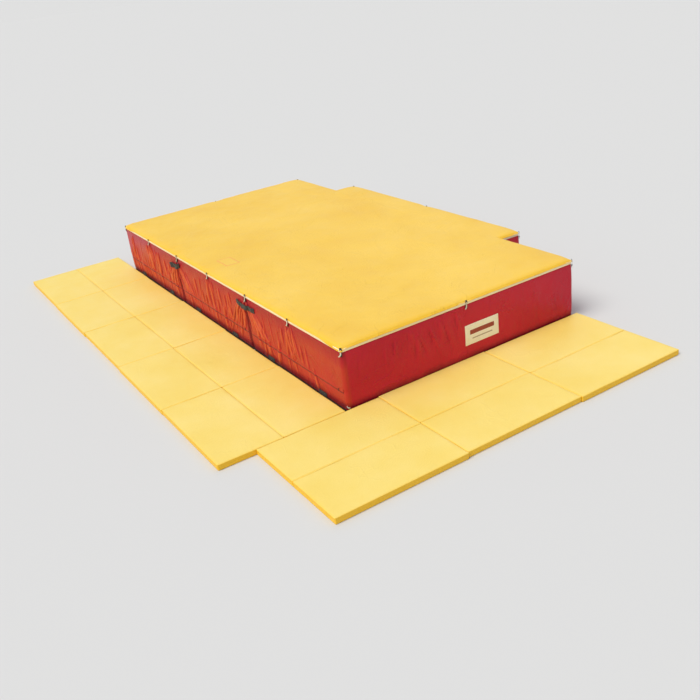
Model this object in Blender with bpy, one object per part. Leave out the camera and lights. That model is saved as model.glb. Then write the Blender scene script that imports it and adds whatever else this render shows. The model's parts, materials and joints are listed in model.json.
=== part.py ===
"""Foam landing pit of three units under one top pad, with bi-fold mats laid round two of its sides.

The origin is on the floor at the centre of the pit's main rectangle. +X runs along the pit's short side,
away from the long straight wall. +Y runs along its long side, away from the labelled wall. +Z is up.
"""

import math

import bmesh
import bpy
from mathutils import Matrix, Vector

# Driving dimensions, in metres.
PIT_LENGTH = 5.43          # along Y, all three units
PIT_WIDTH = 2.68           # along X, without the projecting section
PROJECTION = 0.28          # how far the middle of the right side stands out between its cut-out corners
CUT_OUT = 1.03             # length of the near cut-out corner, from the pit's end
FAR_CUT_OUT = 1.10         # length of the far cut-out corner
UNIT_HEIGHT = 0.585        # top of the red units
PIT_HEIGHT = 0.64          # top of the top pad
UNITS = ("near", "middle", "far")
CORNER_RADIUS = 0.03
VINYL = 0.002              # thickness of a cover's vinyl
BASE_SHEET = 0.003         # thickness of the non-slip base tray's floor
TRAY_HEIGHT = 0.040        # how far the base tray's sides stand up round the foam
GAP = 0.0006               # clearance between pieces that lie against each other
UNIT_GAP = 0.004           # joint between two units
BAND_HEIGHT = 0.038        # cream band round the side of the top pad

PANEL = 0.600              # a mat panel's width, across the fold
MAT_LENGTH = 1.204         # a mat's length, along the fold
MAT_PITCH = 1.208
MAT_THICKNESS = 0.058
FOLD_GAP = 0.004           # joint between a mat's two panels
FOLD_LIFT = 0.001          # height of the fold's axis above the mat's top
LEFT_MAT_OFFSETS = (0.038, 0.042, 0.036, 0.043, 0.038)   # from the long wall to each mat of its row
FRONT_MAT_OFFSETS = (0.018, 0.006, 0.016)                # from the labelled wall to each mat of its row
LEFT_ROW_START = 0.013     # how far the left row starts before the labelled wall
FRONT_ROW_START = 0.90     # how far the front row starts beyond the long wall
MAT_EDGE_ROUNDING = 0.006

STRAP_WIDTH = 0.024
STRAP_THICKNESS = 0.003
HANDLE_LENGTH = 0.40
HANDLE_WIDTH = 0.05
HANDLE_THICKNESS = 0.006
HANDLE_TOP = 0.525         # height of a handle's upper edge, where it swings
SLACK_LENGTH = 0.33        # the far left handle is bunched up, off the joint, and takes more height
SLACK_WIDTH = 0.10
SLACK_TOP = 0.545
SLACK_SHIFT = 0.08
ZIP_HEIGHT = 0.22
ZIP_END = 0.10             # from a unit's near end to its zip pull at rest
TAB_LENGTH = 0.13
TAB_FOOT = 0.022           # height of a tab's lower edge, where it is welded to the tray
TAB_TOP = 0.072
TAB_THICKNESS = 0.004
TAB_FROM_END = 0.41
LABEL_WIDTH = 0.40
LABEL_HEIGHT = 0.20
LABEL_CENTRE = (0.165, 0.285)  # X and Z
STAND_OFF = 0.001          # air between a wall and what lies on it

LEFT = -PIT_WIDTH / 2
RIGHT = PIT_WIDTH / 2
OUTER_RIGHT = RIGHT + PROJECTION
FRONT = -PIT_LENGTH / 2
BACK = PIT_LENGTH / 2
UNIT_LENGTH = PIT_LENGTH / len(UNITS)
NEAR_STEP = FRONT + CUT_OUT
FAR_STEP = BACK - FAR_CUT_OUT

RED = (0.42, 0.022, 0.028)
DARK_RED = (0.10, 0.008, 0.012)
YELLOW = (0.88, 0.60, 0.10)
PALE_YELLOW = (0.90, 0.68, 0.20)
CREAM = (0.93, 0.80, 0.58)
BLACK = (0.012, 0.011, 0.010)
WHITE = (0.85, 0.82, 0.75)
FOAM = (0.80, 0.76, 0.62)


def clear_scene():
    for thing in list(bpy.data.objects):
        bpy.data.objects.remove(thing, do_unlink=True)


def material(name, colour, roughness, metallic=0.0):
    made = bpy.data.materials.new(name)
    made.use_nodes = True
    shader = made.node_tree.nodes["Principled BSDF"]
    shader.inputs["Base Color"].default_value = (*colour, 1.0)
    shader.inputs["Roughness"].default_value = roughness
    shader.inputs["Metallic"].default_value = metallic
    made.diffuse_color = (*colour, 1.0)
    return made


def add_object(name, mesh_data, colour, roughness, location=(0, 0, 0), turn=0.0):
    """Makes an object from a bmesh, with a material of its own, turned about Z by turn radians."""
    mesh = bpy.data.meshes.new(name)
    bmesh.ops.recalc_face_normals(mesh_data, faces=mesh_data.faces[:])
    mesh_data.to_mesh(mesh)
    mesh_data.free()
    thing = bpy.data.objects.new(name, mesh)
    thing.location = location
    thing.rotation_euler = (0, 0, turn)
    bpy.context.collection.objects.link(thing)
    mesh.materials.append(material(name, colour, roughness))
    mesh.shade_smooth()
    mesh.set_sharp_from_angle(angle=math.radians(30))
    return thing


def outline_of(points, inset=0.0, steps=3):
    """An anticlockwise rectilinear outline moved inwards by inset, its corners turned into arcs.

    Inwards, an outer corner's arc shrinks by the inset and an inner corner's arc grows by it.
    """
    result = []
    for index, here in enumerate(points):
        corner = Vector(here)
        arriving = (corner - Vector(points[index - 1])).normalized()
        leaving = (Vector(points[(index + 1) % len(points)]) - corner).normalized()
        is_outer = arriving.cross(leaving) > 0
        corner += Vector((-arriving.y, arriving.x)) * inset + Vector((-leaving.y, leaving.x)) * inset
        radius = CORNER_RADIUS - inset if is_outer else CORNER_RADIUS + inset
        centre = corner + (leaving - arriving) * radius
        for step in range(steps + 1):
            angle = math.pi / 2 * step / steps
            spot = centre - leaving * radius * math.cos(angle) + arriving * radius * math.sin(angle)
            result.append(tuple(spot))
    return result


def ring_of(mesh_data, outline, height):
    return [mesh_data.verts.new((x, y, height)) for x, y in outline]


def bridge(mesh_data, lower, upper):
    for index in range(len(lower)):
        after = (index + 1) % len(lower)
        mesh_data.faces.new((lower[index], lower[after], upper[after], upper[index]))


def prism(outline, bottom, top):
    """A solid block with the given plan outline."""
    mesh_data = bmesh.new()
    low = ring_of(mesh_data, outline, bottom)
    high = ring_of(mesh_data, outline, top)
    bridge(mesh_data, low, high)
    mesh_data.faces.new(low[::-1])
    mesh_data.faces.new(high)
    return mesh_data


def open_shell(points, bottom, top, wall):
    """Walls and a top of one thickness, open below."""
    mesh_data = bmesh.new()
    outer = outline_of(points)
    inner = outline_of(points, wall)
    outer_low = ring_of(mesh_data, outer, bottom)
    outer_high = ring_of(mesh_data, outer, top)
    inner_low = ring_of(mesh_data, inner, bottom)
    inner_high = ring_of(mesh_data, inner, top - wall)
    bridge(mesh_data, outer_low, outer_high)
    bridge(mesh_data, inner_high, inner_low)
    bridge(mesh_data, inner_low, outer_low)
    mesh_data.faces.new(outer_high)
    mesh_data.faces.new(inner_high[::-1])
    return mesh_data


def band(points, outside, bottom, top, wall):
    """A strip standing on edge, its outer face inside the outline by outside."""
    mesh_data = bmesh.new()
    outer = outline_of(points, outside)
    inner = outline_of(points, outside + wall)
    outer_low = ring_of(mesh_data, outer, bottom)
    outer_high = ring_of(mesh_data, outer, top)
    inner_low = ring_of(mesh_data, inner, bottom)
    inner_high = ring_of(mesh_data, inner, top)
    bridge(mesh_data, outer_low, outer_high)
    bridge(mesh_data, inner_high, inner_low)
    bridge(mesh_data, inner_low, outer_low)
    bridge(mesh_data, outer_high, inner_high)
    return mesh_data


def plate(outline, thickness):
    """A flat outline given as (across, up), standing on edge: it faces -Y and is as thick as stated."""
    mesh_data = bmesh.new()
    near = [mesh_data.verts.new((across, 0.0, up)) for across, up in outline]
    far = [mesh_data.verts.new((across, thickness, up)) for across, up in outline]
    bridge(mesh_data, near, far)
    mesh_data.faces.new(near[::-1])
    mesh_data.faces.new(far)
    return mesh_data


def block(size):
    mesh_data = bmesh.new()
    bmesh.ops.create_cube(mesh_data, size=1.0, matrix=Matrix.Diagonal((*size, 1.0)))
    return mesh_data


def round_edges(thing, width, segments=2):
    bevel = thing.modifiers.new("edges", "BEVEL")
    bevel.width = width
    bevel.segments = segments
    bevel.limit_method = "ANGLE"


def unit_plan(name):
    """A unit's plan outline, anticlockwise. The end units keep a cut-out corner on their right side."""
    near_end = FRONT + UNIT_LENGTH * UNITS.index(name) + UNIT_GAP / 2
    far_end = near_end + UNIT_LENGTH - UNIT_GAP
    if name == "near":
        near_end = FRONT
        return [
            (LEFT, near_end), (RIGHT, near_end), (RIGHT, NEAR_STEP),
            (OUTER_RIGHT, NEAR_STEP), (OUTER_RIGHT, far_end), (LEFT, far_end),
        ]
    if name == "middle":
        return [(LEFT, near_end), (OUTER_RIGHT, near_end), (OUTER_RIGHT, far_end), (LEFT, far_end)]
    far_end = BACK
    return [
        (LEFT, near_end), (OUTER_RIGHT, near_end), (OUTER_RIGHT, FAR_STEP),
        (RIGHT, FAR_STEP), (RIGHT, far_end), (LEFT, far_end),
    ]


def pit_plan():
    return [
        (LEFT, FRONT), (RIGHT, FRONT), (RIGHT, NEAR_STEP), (OUTER_RIGHT, NEAR_STEP),
        (OUTER_RIGHT, FAR_STEP), (RIGHT, FAR_STEP), (RIGHT, BACK), (LEFT, BACK),
    ]


def open_tray(points, height, wall, floor):
    """A floor and walls, open above."""
    mesh_data = bmesh.new()
    outer = outline_of(points)
    inner = outline_of(points, wall)
    outer_low = ring_of(mesh_data, outer, 0.0)
    outer_high = ring_of(mesh_data, outer, height)
    inner_low = ring_of(mesh_data, inner, floor)
    inner_high = ring_of(mesh_data, inner, height)
    bridge(mesh_data, outer_low, outer_high)
    bridge(mesh_data, outer_high, inner_high)
    bridge(mesh_data, inner_high, inner_low)
    mesh_data.faces.new(outer_low[::-1])
    mesh_data.faces.new(inner_low)
    return mesh_data


def add_base(name, plan, near_end, far_end):
    """The non-slip tray under a unit, with two webbing tabs that stand up from it on the left wall."""
    tray = add_object(name, open_tray(plan, TRAY_HEIGHT, VINYL, BASE_SHEET), BLACK, 0.8)
    welded = LEFT + VINYL / 2
    clear = LEFT - STAND_OFF
    outer = clear - TAB_THICKNESS
    below_rim = TRAY_HEIGHT - STAND_OFF
    for place in (near_end + TAB_FROM_END, far_end - TAB_FROM_END):
        # A tab overlaps the tray's side up to just below its rim, and stands clear of the red cover above.
        outline = [
            (outer, TAB_FOOT), (welded, TAB_FOOT), (welded, below_rim),
            (clear, below_rim), (clear, TAB_TOP), (outer, TAB_TOP),
        ]
        tab_mesh = plate(outline, TAB_LENGTH)
        bmesh.ops.translate(tab_mesh, verts=tab_mesh.verts[:], vec=(0, place - TAB_LENGTH / 2, 0))
        tab = add_object(name + "_tab_guide", tab_mesh, BLACK, 0.8)
        tab.hide_render = True
        tab.display_type = "WIRE"
        join = tray.modifiers.new("tab", "BOOLEAN")
        join.operation = "UNION"
        join.object = tab


def add_unit(name):
    plan = unit_plan(name)
    near_end = min(y for x, y in plan)
    far_end = max(y for x, y in plan)
    add_object(
        f"{name}_unit_cover", open_shell(plan, TRAY_HEIGHT + GAP, UNIT_HEIGHT - GAP, VINYL), RED, 0.35
    )
    foam = prism(outline_of(plan, VINYL + GAP), BASE_SHEET + GAP, UNIT_HEIGHT - VINYL - 2 * GAP)
    add_object(f"{name}_unit_foam", foam, FOAM, 0.95)
    add_base(f"{name}_unit_base", plan, near_end, far_end)
    add_zip_pull(f"{name}_zip_pull", near_end + ZIP_END)


def add_zip_pull(name, place):
    """Slider and pull tab in one piece, lying on the left wall, its origin on the zip's line."""
    outline = [
        (-0.007, -0.005), (-0.003, -0.007), (-0.004, -0.024), (0.004, -0.024),
        (0.003, -0.007), (0.007, -0.005), (0.007, 0.005), (-0.007, 0.005),
    ]
    mesh_data = plate(outline, 0.004)
    bmesh.ops.translate(mesh_data, verts=mesh_data.verts[:], vec=(0, -0.004 - STAND_OFF, 0))
    add_object(name, mesh_data, DARK_RED, 0.4, (LEFT, place, ZIP_HEIGHT), -math.pi / 2)


def add_top_pad():
    plan = pit_plan()
    band_top = UNIT_HEIGHT + BAND_HEIGHT
    add_object("top_pad_cover", open_shell(plan, band_top + GAP, PIT_HEIGHT, VINYL), YELLOW, 0.4)
    add_object("top_pad_edge_band", band(plan, VINYL, UNIT_HEIGHT, band_top, VINYL), CREAM, 0.45)
    foam = prism(outline_of(plan, 2 * VINYL + GAP), UNIT_HEIGHT, PIT_HEIGHT - VINYL - GAP)
    add_object("top_pad_foam", foam, FOAM, 0.95)


def tie_stations():
    """Where the top pad is tied down: (x, y, direction its strap faces, in radians from -Y)."""
    diagonal = CORNER_RADIUS * (1 - math.sqrt(0.5))
    left_turn = -math.pi / 2
    right_turn = math.pi / 2
    stations = [(LEFT + diagonal, FRONT + diagonal, left_turn / 2)]
    for sixth in range(1, 6):
        # The straps beside a joint between units stand a little to its near side.
        shift = -0.03 if sixth % 2 == 0 else 0.0
        stations.append((LEFT, FRONT + PIT_LENGTH * sixth / 6 + shift, left_turn))
    stations.append((LEFT + diagonal, BACK - diagonal, left_turn * 1.5))
    stations.append((0.0, BACK, math.pi))
    stations.append((RIGHT - diagonal, BACK - diagonal, right_turn * 1.5))
    stations.append((OUTER_RIGHT - diagonal, FAR_STEP - diagonal, right_turn * 1.5))
    stations.append((OUTER_RIGHT, (NEAR_STEP + FAR_STEP) / 2, right_turn))
    stations.append((OUTER_RIGHT - diagonal, NEAR_STEP + diagonal, right_turn / 2))
    stations.append((RIGHT - diagonal, FRONT + diagonal, right_turn / 2))
    stations.append((0.0, FRONT, 0.0))
    return stations


def add_tie_strap(number, place):
    """A strap sewn to the pad's edge that runs down over the band to the wall, with its tail to one side."""
    x, y, turn = place
    away = STRAP_THICKNESS + STAND_OFF
    half = STRAP_WIDTH / 2
    top = PIT_HEIGHT - 0.012
    knot = UNIT_HEIGHT - 0.012
    tail = UNIT_HEIGHT - 0.036
    outline = [
        (half, knot), (half, top), (-half, top), (-half * 1.3, knot + 0.008),
        (-half * 2.6, tail + 0.008), (-half * 1.6, tail), (-half * 0.4, knot),
    ]
    add_object(
        f"tie_strap_{number:02d}",
        plate(outline, STRAP_THICKNESS),
        WHITE,
        0.7,
        (x + math.sin(turn) * away, y - math.cos(turn) * away, 0.0),
        turn,
    )


def add_handle(name, wall, place, turn, length=HANDLE_LENGTH, top=HANDLE_TOP, width=HANDLE_WIDTH):
    """A webbing handle lying flat on a wall. Its origin is at its upper edge, where it swings."""
    mesh_data = block((length, HANDLE_THICKNESS, width))
    bmesh.ops.translate(mesh_data, verts=mesh_data.verts[:], vec=(0, 0, -width / 2))
    away = math.copysign(STAND_OFF + HANDLE_THICKNESS / 2, turn)
    handle = add_object(name, mesh_data, BLACK, 0.75, (wall + away, place, top), turn)
    round_edges(handle, 0.002)


def add_handles():
    near_joint = FRONT + UNIT_LENGTH
    far_joint = BACK - UNIT_LENGTH
    left_turn = -math.pi / 2
    right_turn = math.pi / 2
    add_handle("handle_left_near", LEFT, near_joint, left_turn)
    add_handle(
        "handle_left_far", LEFT, far_joint + SLACK_SHIFT, left_turn, SLACK_LENGTH, SLACK_TOP, SLACK_WIDTH
    )
    add_handle("handle_right_near", OUTER_RIGHT, near_joint, right_turn)
    add_handle("handle_right_far", OUTER_RIGHT, far_joint, right_turn)


def add_mat(name, hinge, turn):
    """A mat lying on the floor. hinge is the fold's middle; the outer panel lies on its local -Y side."""
    axis_height = MAT_THICKNESS + FOLD_LIFT
    for side, sign in (("inner", 1), ("outer", -1)):
        mesh_data = block((MAT_LENGTH, PANEL, MAT_THICKNESS))
        across = sign * (FOLD_GAP + PANEL) / 2
        bmesh.ops.translate(
            mesh_data, verts=mesh_data.verts[:], vec=(0, across, MAT_THICKNESS / 2 - axis_height)
        )
        panel = add_object(
            f"{name}_{side}_panel", mesh_data, PALE_YELLOW, 0.45, (*hinge, axis_height), turn
        )
        round_edges(panel, MAT_EDGE_ROUNDING)
    strip = block((MAT_LENGTH - 0.02, FOLD_GAP - 2 * GAP, 0.0012))
    bmesh.ops.translate(strip, verts=strip.verts[:], vec=(0, 0, -FOLD_LIFT))
    add_object(f"{name}_fold_strip", strip, PALE_YELLOW, 0.45, (*hinge, axis_height), turn)


def add_mats():
    fold = PANEL + FOLD_GAP / 2
    for number, offset in enumerate(LEFT_MAT_OFFSETS):
        middle = FRONT - LEFT_ROW_START + MAT_PITCH * (number + 0.5)
        add_mat(f"left_mat_{number + 1}", (LEFT - offset - fold, middle), -math.pi / 2)
    for number, offset in enumerate(FRONT_MAT_OFFSETS):
        middle = LEFT - FRONT_ROW_START + MAT_PITCH * (number + 0.5)
        add_mat(f"front_mat_{number + 1}", (middle, FRONT - offset - fold), 0.0)


def add_label():
    mesh_data = block((LABEL_WIDTH, 0.0012, LABEL_HEIGHT))
    x, z = LABEL_CENTRE
    add_object("front_label", mesh_data, CREAM, 0.5, (x, FRONT - STAND_OFF, z))


def main():
    clear_scene()
    for name in UNITS:
        add_unit(name)
    add_top_pad()
    for number, place in enumerate(tie_stations()):
        add_tie_strap(number, place)
    add_handles()
    add_label()
    add_mats()


main()
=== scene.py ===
"""Looks of the landing pit: wrinkled vinyl covers, padded mats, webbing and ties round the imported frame."""
import json
import math

import bpy
import numpy as np
from mathutils import Matrix, Vector


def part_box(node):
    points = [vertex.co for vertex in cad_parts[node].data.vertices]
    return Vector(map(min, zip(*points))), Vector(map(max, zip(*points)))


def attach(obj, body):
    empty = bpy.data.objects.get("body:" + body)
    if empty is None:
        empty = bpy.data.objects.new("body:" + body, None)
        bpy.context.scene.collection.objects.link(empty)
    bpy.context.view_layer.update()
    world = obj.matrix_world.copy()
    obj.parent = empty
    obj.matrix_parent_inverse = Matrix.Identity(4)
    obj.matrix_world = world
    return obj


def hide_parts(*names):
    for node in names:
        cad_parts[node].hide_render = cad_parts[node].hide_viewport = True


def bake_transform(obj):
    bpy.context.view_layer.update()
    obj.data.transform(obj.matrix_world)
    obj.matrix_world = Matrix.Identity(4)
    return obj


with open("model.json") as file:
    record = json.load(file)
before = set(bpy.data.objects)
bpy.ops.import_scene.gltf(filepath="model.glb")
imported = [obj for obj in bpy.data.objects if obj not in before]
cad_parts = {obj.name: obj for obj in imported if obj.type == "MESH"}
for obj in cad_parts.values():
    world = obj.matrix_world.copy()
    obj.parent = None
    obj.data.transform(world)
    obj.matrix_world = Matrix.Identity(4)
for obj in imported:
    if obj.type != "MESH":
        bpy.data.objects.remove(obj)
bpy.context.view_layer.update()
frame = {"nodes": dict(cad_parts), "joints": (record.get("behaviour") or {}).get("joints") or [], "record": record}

# --- Places, read from the frame ---
UNITS = ("near", "middle", "far")
COVER = {unit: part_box(f"{unit}_unit_cover") for unit in UNITS}
LEFT = COVER["near"][0].x
OUTER_RIGHT = COVER["near"][1].x
FRONT = COVER["near"][0].y
BACK = COVER["far"][1].y
RIGHT = -LEFT
UNIT_FOOT = COVER["near"][0].z
UNIT_TOP = COVER["near"][1].z
PAD_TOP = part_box("top_pad_cover")[1].z
BAND_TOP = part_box("top_pad_edge_band")[1].z
OPENINGS = {item["name"]: item["box_m"] for item in frame["record"]["physics"]["openings"]}
CLEAR_OF_WALL = 0.010      # the openings' boxes stand this far off the walls
NEAR_STEP = OPENINGS["near_cut_out"][1][1] + CLEAR_OF_WALL
FAR_STEP = OPENINGS["far_cut_out"][0][1] - CLEAR_OF_WALL
PIT_LENGTH = BACK - FRONT
UNIT_LENGTH = PIT_LENGTH / 3
ROOT = "landing_pit"
JOINTS = {joint["name"]: joint for joint in frame["joints"]}
MATS = [f"left_mat_{number}" for number in range(1, 6)] + [f"front_mat_{number}" for number in range(1, 4)]

PIT_OUTLINE = [
    (LEFT, FRONT), (RIGHT, FRONT), (RIGHT, NEAR_STEP), (OUTER_RIGHT, NEAR_STEP),
    (OUTER_RIGHT, FAR_STEP), (RIGHT, FAR_STEP), (RIGHT, BACK), (LEFT, BACK),
]


# --- Materials ---
class Nodes:
    """Short calls that add and link the nodes of one material."""

    def __init__(self, name):
        self.material = bpy.data.materials.new(name)
        self.material.use_nodes = True
        self.tree = self.material.node_tree
        self.shader = self.tree.nodes["Principled BSDF"]
        self.coordinates = self.add("TexCoord")
        self.place = self.coordinates.outputs["Object"]

    def add(self, kind, settings=None, **inputs):
        node = self.tree.nodes.new("ShaderNode" + kind)
        for key, value in (settings or {}).items():
            setattr(node, key, value)
        for key, value in inputs.items():
            self.set(node.inputs[key.replace("_", " ")], value)
        return node

    def set(self, socket, value):
        if isinstance(value, bpy.types.NodeSocket):
            self.tree.links.new(value, socket)
        else:
            socket.default_value = value

    def noise(self, scale, detail=3.0, roughness=0.55, distortion=0.0):
        return self.add(
            "TexNoise", Vector=self.place, Scale=scale, Detail=detail, Roughness=roughness,
            Distortion=distortion,
        ).outputs["Fac"]

    def ramp(self, value, stops):
        node = self.add("ValToRGB", Fac=value)
        bands = node.color_ramp.elements
        for number, (position, colour) in enumerate(stops):
            band = bands[number] if number < 2 else bands.new(position)
            band.position = position
            band.color = (*colour, 1.0)
        return node.outputs["Color"]

    def grey_ramp(self, value, low, high, start=0.35, end=0.65):
        return self.ramp(value, [(start, (low,) * 3), (end, (high,) * 3)])

    def math(self, operation, first, second=0.0):
        node = self.add("Math", {"operation": operation})
        self.set(node.inputs[0], first)
        self.set(node.inputs[1], second)
        return node.outputs[0]

    def times(self, first, second):
        return self.math("MULTIPLY", first, second)

    def minus(self, first, second):
        return self.math("SUBTRACT", first, second)

    def size(self, value):
        return self.math("ABSOLUTE", value)

    def mix(self, share, first, second):
        node = self.add("Mix", {"data_type": "RGBA"})
        self.set(node.inputs[0], share)
        for socket, colour in ((node.inputs[6], first), (node.inputs[7], second)):
            self.set(socket, colour if isinstance(colour, bpy.types.NodeSocket) else (*colour, 1.0))
        return node.outputs[2]

    def split(self, vector):
        node = self.add("SeparateXYZ", Vector=vector)
        return [node.outputs[axis] for axis in "XYZ"]

    def weave(self, pitch):
        """Crossed threads: waves along X, Y and Z, added up."""
        waves = [
            self.add(
                "TexWave", {"wave_type": "BANDS", "bands_direction": direction},
                Vector=self.place, Scale=math.pi / (10 * pitch), Distortion=0.4, Detail=1.0,
            ).outputs["Fac"] for direction in "XYZ"
        ]
        return self.math("ADD", self.math("ADD", waves[0], waves[1]), waves[2])

    def bump(self, height, distance, strength=1.0, under=None):
        node = self.add("Bump", Height=height, Distance=distance, Strength=strength)
        if under is not None:
            self.set(node.inputs["Normal"], under)
        return node.outputs["Normal"]

    def finish(self, colour, roughness, normal=None, **constants):
        self.set(self.shader.inputs["Base Color"], colour)
        self.set(self.shader.inputs["Roughness"], roughness)
        if normal is not None:
            self.set(self.shader.inputs["Normal"], normal)
        for key, value in constants.items():
            self.shader.inputs[key.replace("_", " ")].default_value = value
        return self.material


def coated_fabric(name, dark, body, light, roughness=(0.38, 0.52), crease=1.0, tint=None, gloss=0.32):
    """Vinyl-coated polyester: threads that just show through, creases, scuffs and dull patches."""
    n = Nodes(name)
    drift = n.noise(1.3, 4.0, 0.6)
    colour = n.ramp(drift, [(0.28, dark), (0.5, body), (0.74, light)])
    scuffs = n.grey_ramp(n.noise(38.0, 6.0, 0.7, distortion=0.6), 0.0, 1.0, 0.60, 0.72)
    colour = n.mix(n.times(scuffs, 0.10), colour, light)
    if tint:
        colour = tint(n, colour)
    dullness = n.grey_ramp(n.noise(5.0, 5.0, 0.6), *roughness, 0.3, 0.7)
    creases = n.noise(9.0, 5.0, 0.62, distortion=1.1)
    normal = n.bump(creases, 0.006 * crease, 0.8)
    for scale in (1.7, 2.9):
        # Fine folds run where a noise passes its middle value, and only in patches.
        off_middle = n.size(n.minus(n.noise(scale, 5.0, 0.5, distortion=0.5), 0.5))
        line = n.grey_ramp(off_middle, 1.0, 0.0, 0.001, 0.012)
        patches = n.grey_ramp(n.noise(scale * 1.4, 2.0), 0.0, 1.0, 0.50, 0.60)
        normal = n.bump(n.times(line, patches), 0.0035 * crease, 0.8, normal)
    normal = n.bump(n.noise(70.0, 3.0), 0.0008, 0.6, normal)
    normal = n.bump(n.weave(0.0022), 0.0003, 0.5, normal)
    return n.finish(colour, dullness, normal, Specular_IOR_Level=gloss)


def painted_shade_where_it_turns_down(shade_yellow):
    """Painted shade for the yellow covers: rolled edges and sides, on which less light falls, get a deeper colour
    than the flat top.
    """
    def tint(n, colour):
        tilt = n.size(n.split(n.coordinates.outputs["Normal"])[2])
        side = n.grey_ramp(tilt, 1.0, 0.0, 0.55, 0.93)
        roll = n.grey_ramp(tilt, 0.30, 0.0, 0.975, 0.998)
        return n.mix(n.math("MAXIMUM", side, roll), colour, shade_yellow)
    return tint


def painted_wall_light(n, colour):
    """Painted light on the long wall's red: an orange painted reflection of the yellow mats below the pad, painted
    shade near its top under the pad, and a darker red towards its foot.

    The "fold" attribute is above 0 on a ridge, which gets a painted highlight, and below 0 in a valley, which gets
    painted shade.
    """
    x, _, z = n.split(n.place)
    height = n.math("ADD", z, n.times(n.noise(2.6, 2.0), 0.16))
    below_pad = n.grey_ramp(height, 1.0, 0.0, UNIT_TOP - 0.07, UNIT_TOP + 0.09)
    on_long_wall = n.grey_ramp(n.minus(x, LEFT), 0.75, 0.0, 0.03, 0.05)
    streaks = n.grey_ramp(n.noise(7.0, 4.0, 0.6), 0.45, 1.0, 0.30, 0.62)
    # Painted reflection: the yellow mats' orange glow on the long wall below the pad.
    reflection_share = n.times(n.times(below_pad, on_long_wall), streaks)
    colour = n.mix(reflection_share, colour, MAT_REFLECTION_RED)
    # Painted shade near the top of the long wall, under the pad.
    under_pad_shade = n.times(n.minus(1.0, below_pad), on_long_wall)
    colour = n.mix(under_pad_shade, colour, SHADED_RED)
    # Painted highlight on the ridges and painted shade in the valleys, by the "fold" attribute.
    fold = n.add("Attribute", {"attribute_name": "fold"}).outputs["Fac"]
    ridge = n.times(n.math("MAXIMUM", fold, 0.0), 0.75)
    valley = n.times(n.math("MAXIMUM", n.times(fold, -1.0), 0.0), 0.85)
    colour = n.mix(ridge, colour, RIDGE_HIGHLIGHT_RED)
    colour = n.mix(valley, colour, VALLEY_SHADE_RED)
    # The red turns darker towards the foot, unevenly.
    patchy = n.math("ADD", z, n.times(n.noise(9.0, 3.0), 0.06))
    darker_at_foot = n.grey_ramp(patchy, 0.75, 0.0, 0.085, 0.15)
    return n.mix(darker_at_foot, colour, VALLEY_SHADE_RED)


def bordered(low, high, width, border):
    """A tint for a patch: a narrow welded border just inside its edge."""
    def tint(n, colour):
        insides = [
            n.math("MINIMUM", n.minus(place, start), n.minus(end, place))
            for place, start, end in zip(n.split(n.place), low, high)
        ]
        edge = n.grey_ramp(n.math("MINIMUM", *insides), 0.75, 0.0, width, width + 0.003)
        return n.mix(edge, colour, border)
    return tint


def webbing(name, dark, light):
    n = Nodes(name)
    threads = n.weave(0.002)
    colour = n.mix(n.grey_ramp(n.noise(30.0, 4.0), 0.0, 1.0), dark, light)
    normal = n.bump(threads, 0.0006, 0.9)
    dullness = n.grey_ramp(n.noise(60.0), 0.6, 0.85, 0.3, 0.7)
    return n.finish(colour, dullness, normal, Sheen_Weight=0.15, Sheen_Roughness=0.5)


def foam_material():
    n = Nodes("open_cell_foam")
    cells = n.add("TexVoronoi", Vector=n.place, Scale=420.0).outputs["Distance"]
    colour = n.ramp(n.noise(6.0, 5.0), [(0.3, (0.62, 0.56, 0.40)), (0.7, (0.80, 0.76, 0.60))])
    return n.finish(colour, 0.95, n.bump(cells, 0.001, 0.8))


def base_material():
    """Black non-slip sheet with small raised dots."""
    n = Nodes("non_slip_sheet")
    dots = n.add("TexVoronoi", Vector=n.place, Scale=160.0).outputs["Distance"]
    colour = n.ramp(n.noise(14.0, 5.0), [(0.3, (0.010, 0.009, 0.009)), (0.75, (0.035, 0.030, 0.028))])
    return n.finish(colour, 0.8, n.bump(n.grey_ramp(dots, 1.0, 0.0, 0.1, 0.5), 0.0008, 0.9))


def label_material():
    """A plain cream patch with two plain bars."""
    n = Nodes("plain_label")
    low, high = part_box("front_label")
    x, _, up = n.split(n.place)
    across = n.size(n.minus(x, (low.x + high.x) / 2))

    def bar(centre, half_height, half_width):
        in_height = n.math("LESS_THAN", n.size(n.minus(up, centre)), half_height)
        return n.times(in_height, n.math("LESS_THAN", across, half_width))

    width, height = high.x - low.x, high.z - low.z
    cream = n.ramp(n.noise(20.0, 4.0), [(0.3, (0.98, 0.90, 0.68)), (0.7, (1.0, 0.96, 0.78))])
    colour = n.mix(bar(low.z + height * 0.60, height * 0.11, width * 0.36), cream, (0.36, 0.05, 0.03))
    colour = n.mix(bar(low.z + height * 0.28, height * 0.03, width * 0.30), colour, (0.50, 0.40, 0.28))
    return n.finish(colour, 0.55, n.bump(n.weave(0.0015), 0.0004, 0.8))


# Painted light on the long wall: the mats' orange reflection below the pad, shade near its top, highlights on
# ridges and shade in valleys.
MAT_REFLECTION_RED = (0.50, 0.046, 0.018)
SHADED_RED = (0.31, 0.005, 0.016)
RIDGE_HIGHLIGHT_RED = (0.74, 0.150, 0.045)
VALLEY_SHADE_RED = (0.16, 0.006, 0.016)
# Painted shade on the yellow covers' sides and rolled edges.
TURNED_SHADE_YELLOW = (0.95, 0.56, 0.03)
WELD_PINK = (0.90, 0.36, 0.10)
PATCH_LOW, PATCH_HIGH = (-1.13, -0.065), (-0.965, 0.205)

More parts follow.
